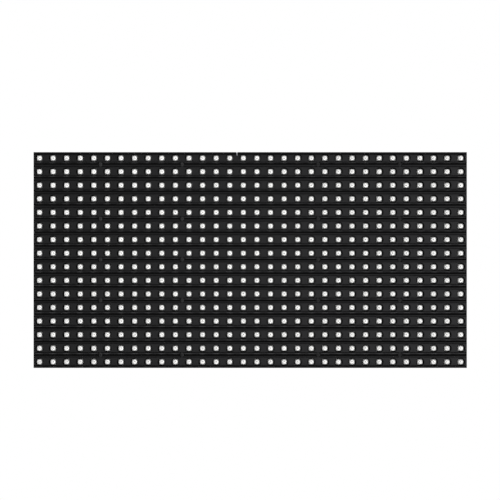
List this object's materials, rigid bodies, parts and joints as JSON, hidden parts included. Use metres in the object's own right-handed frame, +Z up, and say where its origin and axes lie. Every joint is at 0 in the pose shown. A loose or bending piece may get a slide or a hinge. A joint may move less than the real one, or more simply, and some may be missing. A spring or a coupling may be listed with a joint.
{
  "type": "led display module",
  "caption": "Flat rectangular display tile: a grid of white surface-mount lamps behind a louvred black mask, on a ribbed rear frame with threaded inserts and plug headers.",
  "frame": {"origin": "centre of the rear insert pattern, on the plane of the insert mouths", "axes": "+X to the right as seen from the front, +Y to the back, out of the insert mouths, +Z up"},
  "size_m": [0.3186, 0.0221, 0.1586],
  "materials": {
    "mask_plastic": "fine spark-eroded moulding texture",
    "potting_silicone": "poured, slightly glossy",
    "board_laminate": "solder mask over copper",
    "lamp_package": "moulded white package",
    "lamp_resin": "clear cast resin",
    "frame_plastic": "glass-filled moulding",
    "gasket_rubber": "matte",
    "insert_brass": "turned",
    "screw_steel": "black oxide",
    "chip_epoxy": "moulded epoxy",
    "lead_tin": "tin plated",
    "can_aluminium": "drawn",
    "base_plastic": "moulded",
    "capacitor_ceramic": "fired",
    "resistor_glaze": "glazed",
    "header_plastic": "moulded",
    "pin_gold": "gold flash",
    "power_nylon": "natural nylon",
    "power_tin": "tin plated"
  },
  "bodies": {
    "root": {"front_mask": "mask_plastic", "potting": "potting_silicone", "circuit_board": "board_laminate", "rear_frame": "frame_plastic", "rear_gasket": "gasket_rubber", "frame_inserts": "insert_brass", "mask_screws": "screw_steel", "driver_leads": "lead_tin", "buffer_chips": "chip_epoxy", "decoder_chip": "chip_epoxy", "row_switches": "chip_epoxy", "logic_leads": "lead_tin", "capacitor_cans": "can_aluminium", "capacitor_bases": "base_plastic", "bypass_capacitors": "capacitor_ceramic", "set_resistors": "resistor_glaze", "end_caps": "lead_tin", "input_header": "header_plastic", "output_header": "header_plastic", "input_pins": "pin_gold", "output_pins": "pin_gold", "power_header": "power_nylon", "power_pins": "power_tin", "lamp_row_01": "lamp_package", "lamp_row_02": "lamp_package", "lamp_row_03": "lamp_package", "lamp_row_04": "lamp_package", "lamp_row_05": "lamp_package", "lamp_row_06": "lamp_package", "lamp_row_07": "lamp_package", "lamp_row_08": "lamp_package", "lamp_row_09": "lamp_package", "lamp_row_10": "lamp_package", "lamp_row_11": "lamp_package", "lamp_row_12": "lamp_package", "lamp_row_13": "lamp_package", "lamp_row_14": "lamp_package", "lamp_row_15": "lamp_package", "lamp_row_16": "lamp_package", "resin_row_01": "lamp_resin", "resin_row_02": "lamp_resin", "resin_row_03": "lamp_resin", "resin_row_04": "lamp_resin", "resin_row_05": "lamp_resin", "resin_row_06": "lamp_resin", "resin_row_07": "lamp_resin", "resin_row_08": "lamp_resin", "resin_row_09": "lamp_resin", "resin_row_10": "lamp_resin", "resin_row_11": "lamp_resin", "resin_row_12": "lamp_resin", "resin_row_13": "lamp_resin", "resin_row_14": "lamp_resin", "resin_row_15": "lamp_resin", "resin_row_16": "lamp_resin", "driver_bank_1": "chip_epoxy", "driver_bank_2": "chip_epoxy", "driver_bank_3": "chip_epoxy", "driver_bank_4": "chip_epoxy"}
  },
  "joints": []
}
